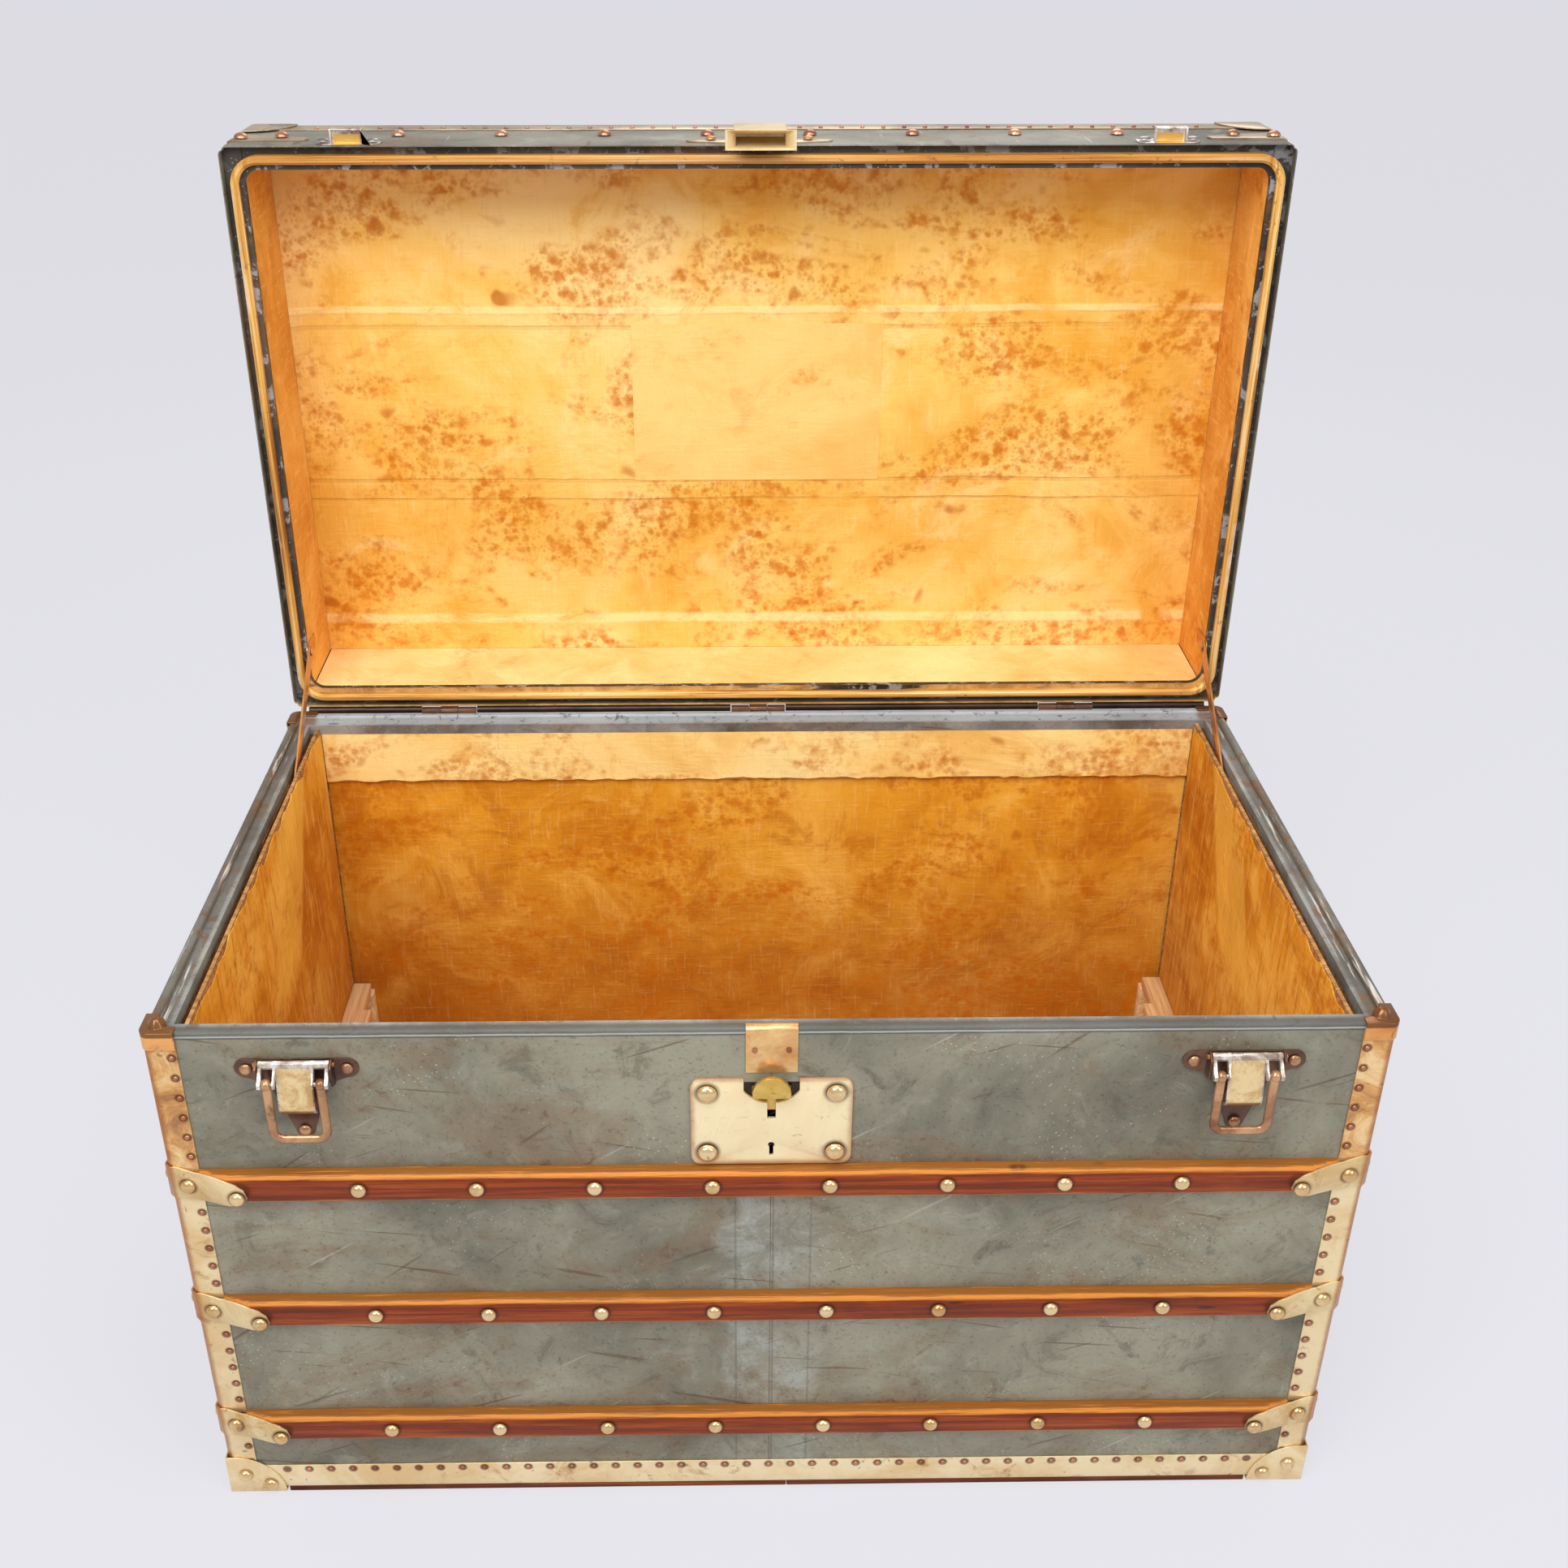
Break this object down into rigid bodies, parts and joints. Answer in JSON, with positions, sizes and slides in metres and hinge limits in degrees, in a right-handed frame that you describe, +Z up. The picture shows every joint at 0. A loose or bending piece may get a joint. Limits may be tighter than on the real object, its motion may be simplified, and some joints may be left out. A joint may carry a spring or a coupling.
{
  "type": "trunk",
  "caption": "Flat-topped travelling trunk standing open: zinc-covered wooden case with brass corners, wood slats, draw latches, a spring lock and leather end handles.",
  "frame": {"origin": "middle of the footprint, on the ground under the middle runner", "axes": "+X to the right seen from the front, +Y to the rear, +Z up; the lid stands open"},
  "size_m": [0.934, 0.6616, 1.014],
  "materials": {
    "zinc": "dull, stained",
    "brass": "aged, satin",
    "copper_brass": "aged, satin",
    "board": "plain sawn",
    "slat_wood": "worn varnish",
    "canvas": "stained canvas",
    "paper": "aged paper",
    "leather": "worn",
    "spring_steel": "dark"
  },
  "bodies": {
    "body": {"front_board": "board", "rear_board": "board", "end_boards": "board", "bottom_board": "board", "body_zinc": "zinc", "rim_cap": "zinc", "rim_battens": "board", "inner_panels": "board", "corner_battens": "board", "body_lining": "canvas", "tray_rests": "board", "runners": "board", "base_edge_strips": "brass", "corner_angles": "brass", "rim_corner_caps": "copper_brass", "base_corner_caps": "brass", "front_slats": "slat_wood", "rear_slats": "slat_wood", "end_slats": "slat_wood", "slat_clamps": "brass", "slat_rivets": "brass", "lock_plate": "brass", "front_rivets": "brass", "lock_case": "brass", "catch_spring": "spring_steel", "rim_strap": "copper_brass", "left_latch_base": "brass", "right_latch_base": "brass", "latch_pins": "brass", "handle_brackets": "brass", "body_hinge_leaves": "brass", "hinge_pins": "brass", "stay_guides": "brass"},
    "lid": {"lid_zinc": "zinc", "lid_top_board": "board", "lid_side_boards": "board", "lid_lip": "brass", "lid_inner_strip": "zinc", "lid_lining": "canvas", "paper_label": "paper", "lid_edge_strips": "brass", "lid_corner_caps": "brass", "lid_slats": "slat_wood", "lid_clamps": "brass", "lid_rivets": "brass", "lid_catches": "brass", "hasp_plate": "brass", "hasp_pin": "brass", "lid_hinge_leaves": "brass", "stay_pivots": "brass"},
    "hasp": {"hasp": "brass"},
    "lock_catch": {"lock_catch": "brass"},
    "left_latch_lever": {"left_latch_lever": "brass"},
    "right_latch_lever": {"right_latch_lever": "brass"},
    "left_latch_ring": {"left_latch_ring": "copper_brass"},
    "right_latch_ring": {"right_latch_ring": "copper_brass"},
    "left_stay": {"left_stay": "copper_brass"},
    "right_stay": {"right_stay": "copper_brass"},
    "left_handle": {"left_handle": "leather"},
    "right_handle": {"right_handle": "leather"}
  },
  "joints": [
    {"name": "lid_hinge", "type": "hinge", "parent": "body", "child": "lid", "pos_m": [0, 0.262, 0.476], "axis": [1, 0, 0], "range_deg": [0, 90]},
    {"name": "left_stay_pivot", "type": "hinge", "parent": "lid", "child": "left_stay", "pos_m": [-0.4288, 0.2686, 0.537], "axis": [1, 0, 0], "range_deg": [-110.2, 0]},
    {"name": "left_lever_swing", "type": "hinge", "parent": "body", "child": "left_latch_lever", "pos_m": [-0.343, -0.2645, 0.452], "axis": [1, 0, 0], "range_deg": [-150, 0]},
    {"name": "left_ring_swing", "type": "hinge", "parent": "left_latch_lever", "child": "left_latch_ring", "pos_m": [-0.343, -0.273, 0.441], "axis": [-1, 0, 0], "range_deg": [-9, 189]},
    {"name": "left_handle_swing", "type": "hinge", "parent": "body", "child": "left_handle", "pos_m": [-0.46, 0, 0.415], "axis": [0, 1, 0], "range_deg": [0, 95]},
    {"name": "right_stay_pivot", "type": "hinge", "parent": "lid", "child": "right_stay", "pos_m": [0.4288, 0.2686, 0.537], "axis": [1, 0, 0], "range_deg": [-110.2, 0]},
    {"name": "right_lever_swing", "type": "hinge", "parent": "body", "child": "right_latch_lever", "pos_m": [0.343, -0.2645, 0.452], "axis": [1, 0, 0], "range_deg": [-150, 0]},
    {"name": "right_ring_swing", "type": "hinge", "parent": "right_latch_lever", "child": "right_latch_ring", "pos_m": [0.343, -0.273, 0.441], "axis": [-1, 0, 0], "range_deg": [-9, 189]},
    {"name": "right_handle_swing", "type": "hinge", "parent": "body", "child": "right_handle", "pos_m": [0.46, 0, 0.415], "axis": [0, -1, 0], "range_deg": [0, 95]},
    {"name": "hasp_swing", "type": "hinge", "parent": "lid", "child": "hasp", "pos_m": [0, 0.2836, 1.0015], "axis": [-1, 0, 0], "range_deg": [0, 110]},
    {"name": "catch_slide", "type": "slide", "parent": "body", "child": "lock_catch", "axis": [0, 0, -1], "range_m": [0, 0.005], "stiffness_N_per_m": 500, "springref_m": -0.005, "deforming": ["catch_spring"]}
  ],
  "couplings": [
    {"joint": "left_stay_pivot", "follows": "lid_hinge", "ratio": -1.2239},
    {"joint": "right_stay_pivot", "follows": "lid_hinge", "ratio": -1.2239}
  ]
}
